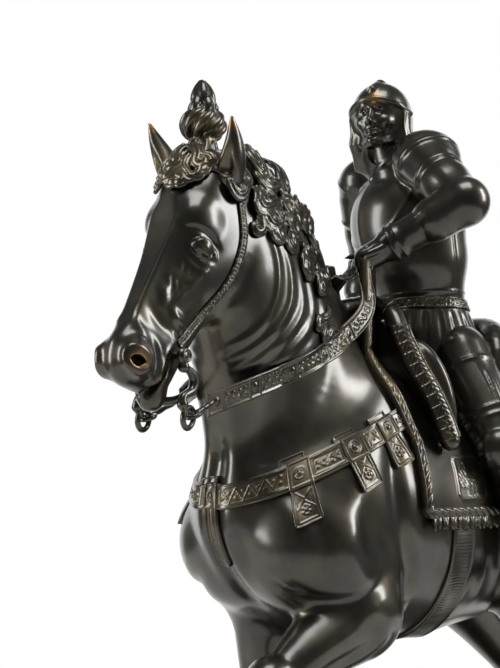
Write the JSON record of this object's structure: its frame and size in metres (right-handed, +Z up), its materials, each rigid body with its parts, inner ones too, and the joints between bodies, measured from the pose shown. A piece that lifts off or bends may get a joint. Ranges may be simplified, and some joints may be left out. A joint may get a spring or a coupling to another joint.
{
  "type": "equestrian statuette",
  "caption": "Cast bronze statuette of an armoured rider on a walking parade horse with one forefoot raised, on a low moulded plinth.",
  "frame": {"origin": "centre of the plinth's underside", "axes": "the horse faces -X, its left side is towards -Y, +Z is up"},
  "size_m": [0.4604, 0.176, 0.5318],
  "materials": {
    "patinated_bronze": "dark brown-black patina, waxed to a gloss",
    "plinth_bronze": "dark brown-black patina, waxed"
  },
  "bodies": {
    "root": {"plinth": "plinth_bronze", "horse": "patinated_bronze", "rider": "patinated_bronze", "bridle_bit": "patinated_bronze", "rein_left": "patinated_bronze", "rein_right": "patinated_bronze"}
  },
  "joints": []
}
